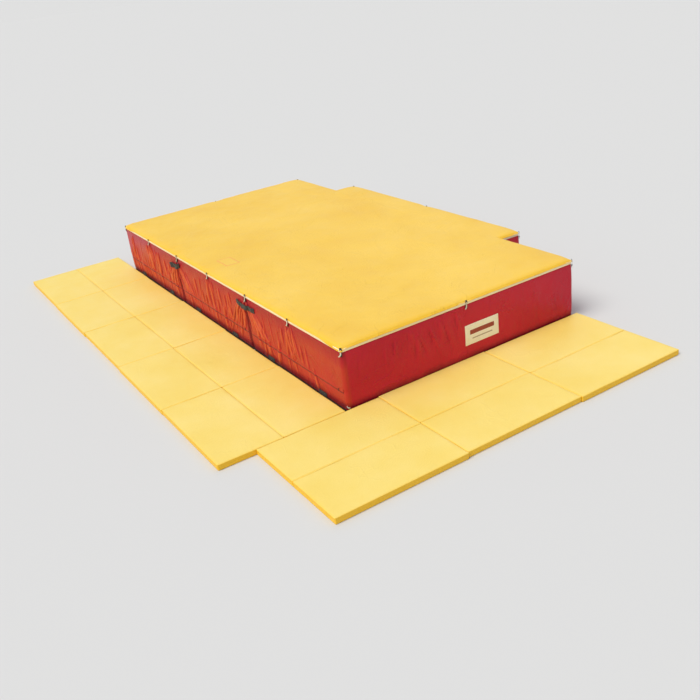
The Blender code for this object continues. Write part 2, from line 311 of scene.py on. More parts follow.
RED = coated_fabric("red_vinyl", (0.49, 0.006, 0.028), (0.54, 0.009, 0.034), (0.59, 0.014, 0.038),
                    (0.26, 0.40), crease=1.3, tint=painted_wall_light, gloss=0.25)
YELLOW = coated_fabric("yellow_vinyl", (0.88, 0.55, 0.060), (0.91, 0.60, 0.080), (0.94, 0.64, 0.11),
                       crease=0.9, tint=painted_shade_where_it_turns_down(TURNED_SHADE_YELLOW))
PALE = coated_fabric("surround_vinyl", (0.91, 0.69, 0.155), (0.93, 0.73, 0.20), (0.95, 0.77, 0.26),
                     crease=0.30, tint=painted_shade_where_it_turns_down(TURNED_SHADE_YELLOW))
PATCH = coated_fabric("patch_vinyl", (0.90, 0.58, 0.075), (0.92, 0.62, 0.095), (0.95, 0.66, 0.13),
                      crease=0.3, tint=bordered(PATCH_LOW, PATCH_HIGH, 0.011, WELD_PINK))
CREAM = coated_fabric("cream_vinyl", (0.93, 0.79, 0.52), (0.97, 0.85, 0.60), (0.98, 0.90, 0.68), crease=0.5)
BLACK_WEB = webbing("black_webbing", (0.008, 0.007, 0.006), (0.030, 0.026, 0.022))
WHITE_WEB = webbing("white_webbing", (0.70, 0.64, 0.50), (0.85, 0.80, 0.68))
FOAM = foam_material()
BASE = base_material()
LABEL = label_material()


def moulded_plastic(name, colour):
    n = Nodes(name)
    tint = n.mix(n.grey_ramp(n.noise(80.0), 0.0, 1.0), colour, tuple(min(1.0, 1.6 * c) for c in colour))
    dullness = n.grey_ramp(n.noise(40.0), 0.32, 0.5, 0.3, 0.7)
    return n.finish(tint, dullness, n.bump(n.noise(400.0), 0.0002, 0.5))


BUCKLE = moulded_plastic("black_plastic", (0.012, 0.011, 0.010))
# The zip's coil, made dark and wide to paint the shade under the flap's edge.
ZIP_COIL_SHADE = moulded_plastic("dark_zip_coil", (0.17, 0.005, 0.010))
PULL = moulded_plastic("dark_red_plastic", (0.09, 0.006, 0.010))


# --- Mesh helpers ---
def add_piece(name, points, faces, material, body, slot, smooth_angle=40):
    mesh = bpy.data.meshes.new(name)
    mesh.from_pydata(np.asarray(points, float).tolist(), [], [list(map(int, face)) for face in faces])
    mesh.validate()
    mesh.materials.append(material)
    mesh.shade_smooth()
    mesh.set_sharp_from_angle(angle=math.radians(smooth_angle))
    piece = bpy.data.objects.new(name, mesh)
    bpy.context.scene.collection.objects.link(piece)
    if body:
        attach(piece, body)
    return piece


def quads(grid):
    """Faces between neighbours in a grid of point numbers."""
    return np.stack([grid[:-1, :-1], grid[:-1, 1:], grid[1:, 1:], grid[1:, :-1]], axis=-1).reshape(-1, 4)


def ring_faces(rings, count):
    """Faces between closed rings of count points. rings holds the number of each ring's first point."""
    return quads(np.array(rings)[:, None] + np.arange(count + 1) % count).tolist()


def ripple(x, y, wavelength, seed):
    """A smooth uneven surface between about -1 and 1, the same on each run."""
    random = np.random.default_rng(seed)
    total = np.zeros(np.broadcast(x, y).shape)
    waves = 9
    for _ in range(waves):
        angle = random.uniform(0, 2 * math.pi)
        pace = 2 * math.pi / (wavelength * random.uniform(0.6, 1.6))
        total += np.sin(pace * (x * math.cos(angle) + y * math.sin(angle)) + random.uniform(0, 2 * math.pi))
    return total / math.sqrt(waves * 2)


def graded(edges, coarse, near=(0.0, 0.004, 0.010, 0.018, 0.028, 0.040, 0.055, 0.075)):
    """Grid lines between the edges, closer together beside each of them."""
    lines = []
    for start, end in zip(edges, edges[1:]):
        offsets = [step for step in near if step < (end - start) / 2.2]
        first = start + offsets[-1]
        last = end - offsets[-1]
        count = max(1, round((last - first) / coarse))
        lines += [start + step for step in offsets[:-1]]
        lines += list(np.linspace(first, last, count + 1))
        lines += [end - step for step in offsets[:-1][::-1]]
    return np.unique(np.round(lines, 6))


def distance_inside(x, y, outline):
    """Distance from each point to the nearest side of the outline."""
    best = np.full(np.shape(x), 1e9)
    for (ax, ay), (bx, by) in zip(outline, outline[1:] + outline[:1]):
        length = math.hypot(bx - ax, by - ay)
        along = np.clip(((x - ax) * (bx - ax) + (y - ay) * (by - ay)) / length**2, 0, 1)
        best = np.minimum(best, np.hypot(x - ax - along * (bx - ax), y - ay - along * (by - ay)))
    return best


def is_inside(x, y, outline):
    inside = np.zeros(np.shape(x), bool)
    for (ax, ay), (bx, by) in zip(outline, outline[1:] + outline[:1]):
        if ay == by:
            continue
        crosses = (ay > y) != (by > y)
        inside ^= crosses & (x < ax + (y - ay) * (bx - ax) / (by - ay))
    return inside


def round_corners(x, y, outline, radius):
    """Moves grid points near each outer corner of the outline so that the corner becomes an arc."""
    x, y = x.copy(), y.copy()
    for index, (cx, cy) in enumerate(outline):
        before = np.subtract((cx, cy), outline[index - 1])
        after = np.subtract(outline[(index + 1) % len(outline)], (cx, cy))
        if before[0] * after[1] - before[1] * after[0] < 0:
            continue
        sx, sy = -np.sign(before[0] - after[0]), -np.sign(before[1] - after[1])
        u = 1 - sx * (x - cx) / radius
        v = 1 - sy * (y - cy) / radius
        near = (u >= -1e-9) & (v >= -1e-9) & (u <= 1 + 1e-6) & (v <= 1 + 1e-6)
        u, v = u[near], v[near]
        x[near] = cx + sx * radius * (1 - u * np.sqrt(1 - v * v / 2))
        y[near] = cy + sy * radius * (1 - v * np.sqrt(1 - u * u / 2))
    return x, y


def plan_grid(outline, xs, ys, radius):
    """The flat surface inside a rectilinear outline: x, y, faces, and the rim as rim_normals gives it."""
    grid_x, grid_y = np.meshgrid(xs, ys, indexing="ij")
    middle_x = (grid_x[:-1, :-1] + grid_x[1:, 1:]) / 2
    middle_y = (grid_y[:-1, :-1] + grid_y[1:, 1:]) / 2
    rows, columns = np.nonzero(is_inside(middle_x, middle_y, outline))
    width = len(ys)
    faces = np.stack([
        rows * width + columns, (rows + 1) * width + columns,
        (rows + 1) * width + columns + 1, rows * width + columns + 1,
    ], axis=1)
    used, faces = np.unique(faces, return_inverse=True)
    faces = faces.reshape(-1, 4)
    x, y = grid_x.ravel()[used], grid_y.ravel()[used]
    sides = np.concatenate([faces[:, [0, 1]], faces[:, [1, 2]], faces[:, [2, 3]], faces[:, [3, 0]]])
    keys = {tuple(side) for side in sides.tolist()}
    rim = np.array([side for side in sides.tolist() if (side[1], side[0]) not in keys])
    x, y = round_corners(x, y, outline, radius)
    return x, y, faces, rim_normals(x, y, rim)


def rim_normals(x, y, rim):
    """The rim's points, each one's outward direction, and the rim's edges counted in those points."""
    ids, edges = np.unique(rim, return_inverse=True)
    edges = edges.reshape(-1, 2)
    direction = np.stack([x[rim[:, 1]] - x[rim[:, 0]], y[rim[:, 1]] - y[rim[:, 0]]], axis=1)
    outward = np.stack([direction[:, 1], -direction[:, 0]], axis=1)
    total = np.zeros((len(ids), 2))
    np.add.at(total, edges[:, 0], outward)
    np.add.at(total, edges[:, 1], outward)
    return ids, total / np.linalg.norm(total, axis=1, keepdims=True), edges


def hang_rows(top, faces, rim, rows):
    """Adds rows of points below the rim. rows gives (outward, height) for each, as numbers or arrays."""
    points = [top]
    faces = faces.tolist()
    ids, normals, edges = rim
    above = ids
    count = len(top)
    for outward, height in rows:
        spots = top[ids]
        spots[:, :2] += normals * np.reshape(outward, (-1, 1))
        spots[:, 2] = height
        here = count + np.arange(len(ids))
        count += len(ids)
        points.append(spots)
        start, end = edges.T
        faces += np.stack([above[end], above[start], here[start], here[end]], axis=1).tolist()
        above = here
    return np.concatenate(points), faces, above


def closed_pad(top, top_faces, rim, rows, bottom):
    """A padded form. Its bottom repeats the top's grid, and shares the last row below the rim."""
    points, faces, last = hang_rows(top, top_faces, rim, rows)
    index = np.empty(len(bottom), int)
    index[rim[0]] = last
    inner = np.setdiff1d(np.arange(len(bottom)), rim[0])
    index[inner] = len(points) + np.arange(len(inner))
    return np.concatenate([points, bottom[inner]]), faces + index[top_faces[:, ::-1]].tolist()


def sheet(upper, lower, flip=False):
    """Points and faces of a thin closed sheet between two grids of points. flip turns its faces over."""
    points = np.array([upper, lower], float)
    grid = np.arange(points[..., 0].size).reshape(points.shape[:3])
    faces = np.concatenate([
        quads(grid[0])[:, ::-1], quads(grid[1]), quads(grid[:, :, 0]), quads(grid[:, :, -1])[:, ::-1],
        quads(grid[:, 0])[:, ::-1], quads(grid[:, -1]),
    ])
    return points.reshape(-1, 3), faces[:, ::-1] if flip else faces


def places_of(mesh):
    places = np.empty(len(mesh.vertices) * 3)
    mesh.vertices.foreach_get("co", places)
    return places.reshape(-1, 3)


def simulate(piece, pinned, pressure, frames, cap, stiffness):
    """Swells a closed cover as cloth, then lets no point move further than cap."""
    scene = bpy.context.scene
    start = places_of(piece.data)
    cloth = piece.modifiers.new("cloth", "CLOTH")
    settings = cloth.settings
    settings.use_pressure = True
    settings.uniform_pressure_force = pressure
    settings.effector_weights.gravity = 0.0
    settings.tension_stiffness = stiffness
    settings.compression_stiffness = stiffness
    settings.shear_stiffness = stiffness / 3
    settings.bending_stiffness = 0.5
    settings.mass = 0.3
    settings.quality = 5
    group = piece.vertex_groups.new(name="pinned")
    group.add(pinned.tolist(), 1.0, "REPLACE")
    settings.vertex_group_mass = "pinned"
    cloth.collision_settings.use_collision = False
    cloth.point_cache.frame_start = 1
    cloth.point_cache.frame_end = frames
    for number in range(1, frames + 1):
        scene.frame_set(number)
    graph = bpy.context.evaluated_depsgraph_get()
    move = places_of(piece.evaluated_get(graph).to_mesh()) - start
    length = np.linalg.norm(move, axis=1, keepdims=True)
    move *= np.tanh(length / cap) * cap / np.maximum(length, 1e-9)
    piece.modifiers.remove(cloth)
    piece.vertex_groups.clear()
    piece.data.vertices.foreach_set("co", (start + move).ravel())
    piece.data.update()
    scene.frame_set(1)


# --- Surround mats ---
MAT_LOW, MAT_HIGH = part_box("left_mat_1_inner_panel")
MAT_THICKNESS = MAT_HIGH.z
FOLD_AXIS = JOINTS["left_mat_1_fold"]["pos_m"][2]
SEAM_FILL = 0.0012         # how far each side of a panel stands proud of its solid, which narrows the seams
PANEL_ROLL = 0.004         # drop of the top at its edge
PLAN_ROUNDING = 0.010      # radius of a panel's corners, seen from above


def panel_mesh(width, length):
    """A padded panel on its centre: crowned top, sides with a welt along their middle, flat bottom."""
    half_x, half_y = width / 2 + SEAM_FILL, length / 2 + SEAM_FILL
    outline = [(-half_x, -half_y), (half_x, -half_y), (half_x, half_y), (-half_x, half_y)]
    near = (0.0, 0.003, 0.0065, 0.010, 0.016, 0.026, 0.040, 0.060)
    xs, ys = (graded((-half, half), 0.022, near) for half in (half_x, half_y))
    x, y, faces, rim = plan_grid(outline, xs, ys, PLAN_ROUNDING)
    depth = distance_inside(x, y, outline)
    edge = MAT_THICKNESS - PANEL_ROLL
    crown = PANEL_ROLL * (1 - np.exp(-depth / 0.005)) + 0.0004 * (1 - np.exp(-depth / 0.10))
    top = np.stack([x, y, edge + crown], axis=1)
    middle = MAT_THICKNESS * 0.42
    rows = [
        (0.0002, edge - 0.002), (0.0003, edge - 0.008), (0.0001, middle + 0.008),
        (-0.0006, middle + 0.0026), (0.0006, middle + 0.0012), (0.0006, middle - 0.0012),
        (-0.0006, middle - 0.0026), (0.0001, middle - 0.006), (0.0, 0.010), (-0.0008, 0.004),
        (-0.005, 0.0006),
    ]
    bottom = np.stack([x, y, np.full(len(x), 0.0004)], axis=1)
    bottom[:, :2] *= 1 - 0.006 / max(half_x, half_y)
    return closed_pad(top, faces, rim, rows, bottom)


def shaped_panel(points, seed):
    """One panel's own unevenness: a hollow here, a swell there, more at the top than at the sides."""
    points = points.copy()
    high = np.clip(points[:, 2] / MAT_THICKNESS, 0, 1)
    swell = ripple(points[:, 0], points[:, 1], 0.55, seed) * 0.0016
    swell += ripple(points[:, 0], points[:, 1], 0.16, seed + 50) * 0.0004
    points[:, 2] += swell * high**2
    # Nothing stands above the fold's axis, where the two panels meet when the mat is folded.
    ceiling = FOLD_AXIS - 0.0003
    points[:, 2] = ceiling - 0.0004 * np.logaddexp(0, (ceiling - points[:, 2]) / 0.0004)
    # The sides wander a little, but never enough to touch a neighbour.
    wander = ripple(points[:, 1], points[:, 0], 0.7, seed + 90) * 0.0003
    points[:, 0] += wander * high
    return points


def make_mats():
    size = MAT_HIGH - MAT_LOW
    points, faces = panel_mesh(size.x, size.y)
    master = add_piece("master_panel", points, faces, PALE, None, "surround_vinyl")
    on_floor = np.nonzero(points[:, 2] < 0.003)[0]
    simulate(master, on_floor, pressure=1.2, frames=12, cap=0.0022, stiffness=25.0)
    swollen = places_of(master.data)
    # The sides press on the next panel's, so they swell less than the top.
    swollen[:, :2] = points[:, :2] + 0.15 * (swollen[:, :2] - points[:, :2])
    bpy.data.objects.remove(master)
    for number, mat in enumerate(MATS):
        for side, body in (("inner", ROOT), ("outer", f"{mat}_flap")):
            node = f"{mat}_{side}_panel"
            low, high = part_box(node)
            centre = (low + high) / 2
            shape = shaped_panel(swollen, 10 * number + (side == "outer"))
            if mat.startswith("front"):
                shape[:, :2] = shape[:, 1::-1] * (1, -1)
            shape[:, :2] += centre.xy
            shape[:, 2] = np.clip(shape[:, 2], 0.0003, None)
            piece = add_piece(f"{mat}_{side}_pad", shape, faces, PALE, body, "surround_vinyl")
            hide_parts(node)


def make_fold_strips():
    """Each mat's two panels hang together by a strip of vinyl, sunk between them and welded to both."""
    half = (0.0008, 0.0018, 0.0028, 0.0040, 0.0052)
    across = np.array([*(-step for step in half[::-1]), 0.0, *half])
    from_rim = np.clip(np.abs(across) - 0.0008, 0, None)
    lie = MAT_THICKNESS - PANEL_ROLL * np.exp(-from_rim / 0.005) + 0.0005
    for mat in MATS:
        hinge = Vector(JOINTS[f"{mat}_fold"]["pos_m"])
        low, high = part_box(f"{mat}_fold_strip")
        along_y = mat.startswith("left")
        start, end = (low.y, high.y) if along_y else (low.x, high.x)
        place, offset = np.meshgrid(np.linspace(start, end, 60), across, indexing="ij")
        x, y = (hinge.x + offset, place) if along_y else (place, hinge.y + offset)
        height = lie + 0 * offset
        shape = sheet(np.dstack([x, y, height]), np.dstack([x, y, height - 0.0008]), flip=not along_y)
        piece = add_piece(f"{mat}_fold_web", *shape, PALE, None, "surround_vinyl")
        # The outer panel lies on the side away from the pit: -X on the left row, -Y on the front row.
        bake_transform(piece)
        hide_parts(f"{mat}_fold_strip")


# --- Unit covers ---
ZIP_HEIGHT = (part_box("near_zip_pull")[0].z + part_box("near_zip_pull")[1].z) / 2
# The middles of the straps that tie the pad down.
TIES = [sum(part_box(f"tie_strap_{number:02d}"), Vector()) / 2 for number in range(14)]
CORNER_RADIUS = 0.030      # of the units, seen from above
OVER_FOAM = -0.0014        # a cover's skin may sink this far before it meets the foam


def wall_path(outline, fine, hidden=(), finest=None):
    """Points round an outline with rounded corners: x, y, outward x, outward y.

    Hidden sides are coarse, and the long wall, which faces -X, takes the finest spacing.
    """
    stops = []
    count = len(outline)
    for index in range(count):
        here = Vector(outline[index])
        after = Vector(outline[(index + 1) % count])
        beyond = Vector(outline[(index + 2) % count])
        ahead = (after - here).normalized()
        outward = Vector((ahead.y, -ahead.x))
        spacing = 0.12 if index in hidden else fine
        if finest and outward.x < -0.9:
            spacing = finest
        first, last = here + ahead * CORNER_RADIUS, after - ahead * CORNER_RADIUS
        steps = max(1, round((last - first).length / spacing))
        stops += [(*first.lerp(last, step / steps), *outward) for step in range(steps + 1)]
        turn = (beyond - after).normalized()
        side = 1 if ahead.cross(turn) > 0 else -1
        centre = last + side * Vector((-ahead.y, ahead.x)) * CORNER_RADIUS
        for step in range(1, 7):
            angle = side * math.pi / 2 * step / 7
            normal = Vector((outward.x * math.cos(angle) - outward.y * math.sin(angle),
                             outward.x * math.sin(angle) + outward.y * math.cos(angle)))
            stops.append((*(centre + normal * CORNER_RADIUS * side), *normal))
    return np.array(stops)


def unit_outline(unit):
    """A unit's outline, and the numbers of its sides that face another unit."""
    low, high = COVER[unit]
    if unit == "near":
        return [(LEFT, FRONT), (RIGHT, FRONT), (RIGHT, NEAR_STEP), (OUTER_RIGHT, NEAR_STEP),
                (OUTER_RIGHT, high.y), (LEFT, high.y)], {4}
    if unit == "middle":
        return [(LEFT, low.y), (OUTER_RIGHT, low.y), (OUTER_RIGHT, high.y), (LEFT, high.y)], {0, 2}
    return [(LEFT, low.y), (OUTER_RIGHT, low.y), (OUTER_RIGHT, FAR_STEP), (RIGHT, FAR_STEP),
            (RIGHT, BACK), (LEFT, BACK)], {0}


def crease(random, wall, place, high, length, lean, width, depth):
    """One crease: wall, start along, start height, end along, end height, width, depth."""
    return (wall, place, high, place + random.uniform(*lean) * length, high - length,
            random.uniform(*width), random.uniform(*depth))


def fan(random, place, top, number, lean, width, depth):
    """Creases that spread down from one place on the long wall."""
    creases = []
    for _ in range(number):
        length = random.uniform(0.14, 0.46)
        start = place + random.uniform(-0.07, 0.07)
        high = top - random.uniform(0.0, 0.08)
        creases.append(crease(random, "left", start, high, length, lean, width, depth))
    return creases


def wall_folds():
    """Creases in the vinyl.

    On the long wall they fan down from the ties, and slant away from the joints between units. They are few
    and soft on the other walls.
    """
    random = np.random.default_rng(7)
    folds = []
    for tie in range(1, 6):
        place = FRONT + PIT_LENGTH * tie / 6
        folds += fan(random, place, UNIT_TOP - 0.01, 11, (-0.35, 0.35), (0.008, 0.018), (0.006, 0.014))
    for joint in (FRONT + UNIT_LENGTH, BACK - UNIT_LENGTH):
        top = UNIT_TOP - 0.06
        folds += fan(random, joint - 0.13, top, 7, (-0.9, -0.25), (0.009, 0.018), (0.008, 0.016))
        folds += fan(random, joint + 0.13, top, 7, (0.05, 0.7), (0.009, 0.018), (0.008, 0.015))
    for _ in range(120):
        place = FRONT + 0.25 + (PIT_LENGTH - 0.30) * random.random() ** 0.7
        length = random.uniform(0.10, 0.38)
        high = random.uniform(0.26, UNIT_TOP - 0.04)
        folds.append(crease(random, "left", place, high, length,
                            (-0.22, 0.22), (0.008, 0.022), (0.003, 0.013)))
    for _ in range(16):
        place = random.uniform(LEFT + 0.12, -0.05)
        length = random.uniform(0.15, 0.40)
        high = UNIT_TOP - random.uniform(0.01, 0.08)
        folds.append(crease(random, "front", place, high, length,
                            (-0.1, 0.5), (0.010, 0.024), (0.003, 0.008)))
    for wall, start, end, number in (
        ("front", LEFT, RIGHT, 22), ("back", LEFT, RIGHT, 26), ("right", FRONT, BACK, 60),
    ):
        for _ in range(number):
            place = random.uniform(start, end)
            length = random.uniform(0.12, 0.40)
            high = random.uniform(0.25, UNIT_TOP - 0.02)
            folds.append(crease(random, wall, place, high, length,
                                (-0.3, 0.3), (0.012, 0.028), (-0.0012, 0.0022)))
    return folds


FOLDS = wall_folds()


def fold_depth(wall, along, height):
    """How far the creases stand out of a wall at each point. Each is a ridge with a valley beside it."""
    total = np.zeros(np.shape(along))
    for name, a0, z0, a1, z1, width, depth in FOLDS:
        reach = 6 * width
        near = (along > min(a0, a1) - reach) & (along < max(a0, a1) + reach)
        if name != wall or not np.any(near):
            continue
        a, z = along[near], height[near]
        length = math.hypot(a1 - a0, z1 - z0)
        da, dz = (a1 - a0) / length, (z1 - z0) / length
        t = ((a - a0) * da + (z - z0) * dz) / length
        side = (a - a0) * dz - (z - z0) * da
        spread = width * (0.6 + 0.8 * np.clip(t, 0, 1))
        taper = np.clip(t / 0.2, 0, 1) * np.clip((1.05 - t) / 0.5, 0, 1)
        off = side / spread
        profile = np.exp(-(off**2)) - 0.8 * np.exp(-(((off - 1.5) / 0.55) ** 2))
        total[near] += depth * taper * profile
    return 0.015 * np.tanh(total / 0.015)


def folds_at(x, y, nx, ny, height):
    """The creases of whichever wall each point lies on."""
    depth = np.zeros(np.shape(x))
    for wall, share, along in (
        ("left", np.clip(-nx, 0, 1), y), ("right", np.clip(nx, 0, 1), y),
        ("front", np.clip(-ny, 0, 1), x), ("back", np.clip(ny, 0, 1), x),
    ):
        if np.any(share > 0):
            depth += share**2 * fold_depth(wall, along, height)
    return depth


def wall_depth(x, y, nx, ny, height):
    """Outward displacement of a cover's wall. All five are arrays of one shape."""
    depth = folds_at(x, y, nx, ny, height)
    # The foam swells the wall between its top and foot.
    middle = np.clip((height - UNIT_FOOT) / (UNIT_TOP - UNIT_FOOT), 0, 1)
    depth += 0.007 * np.sin(math.pi * middle) ** 0.6
    depth += 0.0022 * ripple(x + y, height, 0.30, 3) * np.sin(math.pi * middle) ** 0.5
    # The wall is drawn flatter where the zip is sewn in.
    zipped = np.clip(-nx, 0, 1)
    depth *= 1 - 0.6 * zipped * np.exp(-(((height - ZIP_HEIGHT) / 0.020) ** 2))
    held = np.clip((UNIT_TOP - height) / 0.03, 0, 1) * np.clip((height - UNIT_FOOT) / 0.05, 0, 1)
    return np.maximum(depth * np.sqrt(held), OVER_FOAM)


def make_unit_cover(unit):
    outline, hidden = unit_outline(unit)
    path = wall_path(outline, 0.014, hidden, finest=0.0055)
    count = len(path)
    heights = np.concatenate([
        [UNIT_FOOT - 0.006, UNIT_FOOT + 0.004], np.linspace(UNIT_FOOT + 0.014, UNIT_TOP - 0.02, 66),
        [UNIT_TOP - 0.009, UNIT_TOP - 0.003, UNIT_TOP - 0.0004],
    ])
    draw_in = np.zeros(len(heights))
    draw_in[:2] = -0.0012, -0.0008
    draw_in[-2:] = 0.001, 0.0045
    x, y, nx, ny = (np.repeat(path[None, :, k], len(heights), axis=0) for k in range(4))
    z = np.repeat(heights[:, None], count, axis=1)
    # Sides that face another unit stay flat, so that neighbours keep clear of each other.
    low, high = COVER[unit]
    facing = np.zeros(np.shape(x), bool)
    if unit != "near":
        facing |= (ny < -0.35) & (y < low.y + 0.05)
    if unit != "far":
        facing |= (ny > 0.35) & (y > high.y - 0.05)
    depth = np.where(facing, 0.0, wall_depth(x, y, nx, ny, z)) - draw_in[:, None]
    points = np.stack([x + nx * depth, y + ny * depth, z], axis=2).reshape(-1, 3)
    rings = range(0, len(points), count)
    faces = [*ring_faces(rings, count), rings[-1] + np.arange(count)]
    # A narrow hem, turned up behind the edge that laps over the base tray.
    hem = points[:count].copy()
    hem[:, :2] -= path[:, 2:] * 0.0008
    hem[:, 2] += 0.004
    faces += ring_faces([len(points), 0], count)
    points = np.concatenate([points, hem])
    piece = add_piece(f"{unit}_vinyl_cover", points, faces, RED, ROOT, "red_vinyl", smooth_angle=70)
    relief = folds_at(x, y, nx, ny, z) / 0.009
    # Away from the long wall the ridges get less painted highlight, and the valleys less painted shade.
    share = np.where(relief > 0, np.clip(-nx, 0.08, 1), np.clip(-nx, 0.60, 1))
    # Painted shade: the sides that face another unit, and the wall beside each joint between units, take the
    # valleys' dark red.
    relief = np.where(facing, -1.0, np.clip(relief, -1, 1) * share)
    for joint in (FRONT + UNIT_LENGTH, BACK - UNIT_LENGTH):
        relief -= 0.9 * np.exp(-((np.abs(y - joint) / 0.040) ** 4))
    relief = np.clip(relief, -1, 1).ravel()
    fold = piece.data.attributes.new("fold", "FLOAT", "POINT")
    fold.data.foreach_set("value", np.concatenate([relief, relief[:count]]).astype(np.float32))
    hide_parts(f"{unit}_unit_cover")


# --- Top pad ---
ROLL = 0.045               # width of the pad's rounded edge
PAD_CROWN = 0.014
PAD_CORNER_RADIUS = 0.045
CORE_INSET = 0.012         # of the pad's filling, from the pad's outline


def tie_pull(x, y):
    """1 at a tie, fading to 0 about 0.15 m away."""
    pull = np.zeros(np.shape(x))
    for middle in TIES:
        pull = np.maximum(pull, np.exp(-(((x - middle.x) ** 2 + (y - middle.y) ** 2) / 0.075**2)))
    return pull


def pad_creases(x, y):
    """Long shallow creases in the top, most of them running in from the edges and ties."""
    random = np.random.default_rng(21)
    total = np.zeros(np.shape(x))
    for number in range(150):
        if number % 5 < 3:
            cx = random.choice([LEFT + 0.10, RIGHT - 0.10, random.uniform(LEFT, RIGHT)])
            cy = random.uniform(FRONT + 0.1, BACK - 0.1)
        else:
            cx, cy = random.uniform(LEFT, OUTER_RIGHT), random.uniform(FRONT, BACK)
        angle = random.uniform(0, math.pi)
        length = random.uniform(0.10, 0.38)
        width = random.uniform(0.010, 0.026)
        depth = random.uniform(-0.0024, 0.0028)
        along = (x - cx) * math.cos(angle) + (y - cy) * math.sin(angle)
        side = -(x - cx) * math.sin(angle) + (y - cy) * math.cos(angle) + 0.25 * along**2
        total += depth * np.exp(-((along / length) ** 2) - (side / width) ** 2)
    return total


def pad_height(x, y):
    depth = distance_inside(x, y, PIT_OUTLINE)
    roll = np.clip(1 - depth / ROLL, 0, 1)
    height = PAD_TOP + PAD_CROWN - 0.020 * (1 - np.sqrt(np.clip(1 - roll**2, 0, 1)))
    height -= 0.014 * np.exp(-depth / 0.09)
    height += 0.0036 * ripple(x, y, 1.1, 31) * (1 - np.exp(-depth / 0.2))
    height += 0.0014 * ripple(x, y, 0.32, 32)
    height += pad_creases(x, y)
    height -= 0.010 * tie_pull(x, y)
    # The welds across the pad, over the joints between units.
    for joint in (1, 2):
        seam = FRONT + UNIT_LENGTH * joint
        height -= 0.0022 * np.exp(-(((y - seam) / 0.006) ** 2)) * (1 - np.exp(-depth / 0.05))
    return height


def make_top_pad():
    xs = graded((LEFT, RIGHT, OUTER_RIGHT), 0.014)
    ys = graded((FRONT, NEAR_STEP, FAR_STEP, BACK), 0.014)
    x, y, faces, rim = plan_grid(PIT_OUTLINE, xs, ys, PAD_CORNER_RADIUS)
    ids = rim[0]
    top = np.stack([x, y, pad_height(x, y)], axis=1)
    rim_x, rim_y = x[ids], y[ids]
    rim_z = top[ids, 2]
    droop = pad_droop(rim_x, rim_y)
    wave = 0.0012 * ripple(rim_x, rim_y, 0.14, 41)
    rows = []
    for share, out in ((0.2, 0.0036), (0.45, 0.0058), (0.7, 0.0066), (0.88, 0.0064), (1.0, 0.0056)):
        rows.append((out + wave, rim_z + (BAND_TOP - droop - rim_z) * share))
    rows.append((0.0044 + wave, BAND_TOP - droop + 0.004))
    shape = hang_rows(top, faces, rim, rows)[:2]
    piece = add_piece("top_pad_vinyl", *shape, YELLOW, "top_pad", "yellow_vinyl", smooth_angle=70)
    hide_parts("top_pad_cover")


def pad_droop(x, y):
    """How far the yellow edge hangs over the cream band: little on the long wall, more at the ends."""
    off_left = np.clip((x - LEFT) / 0.05, 0, 1)
    droop = 0.007 + 0.005 * off_left
    near_corner = np.exp(-(((y - FRONT) / 0.26) ** 4)) + np.exp(-(((y - BACK) / 0.30) ** 4))
    return np.maximum(droop, 0.007 + 0.023 * near_corner * (1 - off_left))


def make_top_core():
    """The pad's filling in its cream lining, just inside the yellow vinyl."""
    outline = [
        tuple(value - math.copysign(CORE_INSET, value) for value in corner) for corner in PIT_OUTLINE
    ]
    xs, ys = (graded(sorted(set(values)), 0.05, (0.0, 0.012, 0.03)) for values in zip(*outline))
    x, y, faces, rim = plan_grid(outline, xs, ys, PAD_CORNER_RADIUS - 0.005)
    top = np.stack([x, y, pad_height(x, y) - 0.006], axis=1)
    rows = [(0.0, UNIT_TOP + 0.030), (0.0, UNIT_TOP + 0.0020)]
    bottom = np.stack([x, y, np.full(len(x), UNIT_TOP + 0.0020)], axis=1)
    shape = closed_pad(top, faces, rim, rows, bottom)
    piece = add_piece("top_pad_lining", *shape, CREAM, "top_pad", "cream_vinyl")
    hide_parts("top_pad_foam")


def make_top_patch():
    """A plain vinyl patch welded on the middle of the top pad."""
    xs = np.linspace(PATCH_LOW[0], PATCH_HIGH[0], 22)
    ys = np.linspace(PATCH_LOW[1], PATCH_HIGH[1], 48)
    grid_x, grid_y = np.meshgrid(xs, ys, indexing="ij")
    height = pad_height(grid_x, grid_y)
    from_edge = np.minimum.reduce([grid_x - xs[0], xs[-1] - grid_x, grid_y - ys[0], ys[-1] - grid_y])
    weld = 0.0010 - 0.0006 * np.exp(-(((from_edge - 0.008) / 0.003) ** 2)) - 0.0008 * (from_edge < 0.001)
    shape = sheet(*(np.dstack([grid_x, grid_y, height + lift]) for lift in (weld, -0.0012)))
    add_piece("top_pad_patch", *shape, PATCH, "top_pad", "yellow_vinyl")


